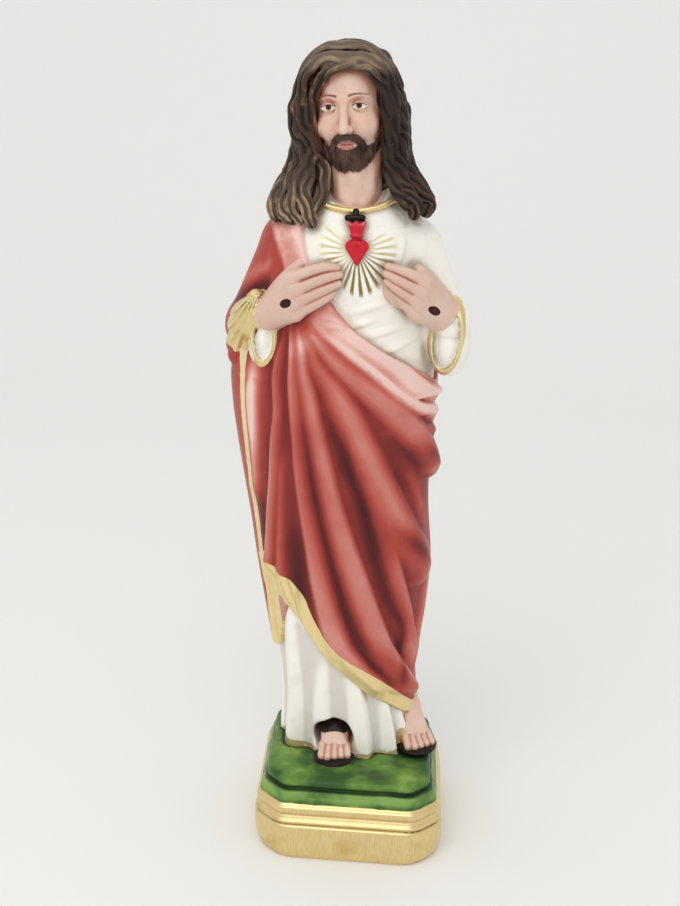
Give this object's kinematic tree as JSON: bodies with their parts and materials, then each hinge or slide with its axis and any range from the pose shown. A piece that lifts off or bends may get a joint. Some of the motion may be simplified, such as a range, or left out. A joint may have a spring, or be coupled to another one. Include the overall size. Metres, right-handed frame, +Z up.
{
  "type": "sacred heart statue",
  "caption": "Painted plaster statuette of a robed and mantled figure with both hands at a rayed heart on its chest, standing on a gilt and green eight-sided plinth by its own weight.",
  "frame": {"origin": "middle of the plinth's flat underside", "axes": "+Z up the figure, -Y the way it faces, +X to its left hand, which is a viewer's right"},
  "size_m": [0.1205, 0.095, 0.4],
  "materials": {
    "painted_plaster": "hand-painted and airbrushed plaster under a satin varnish"
  },
  "bodies": {
    "root": {"statue": "painted_plaster"}
  },
  "joints": []
}
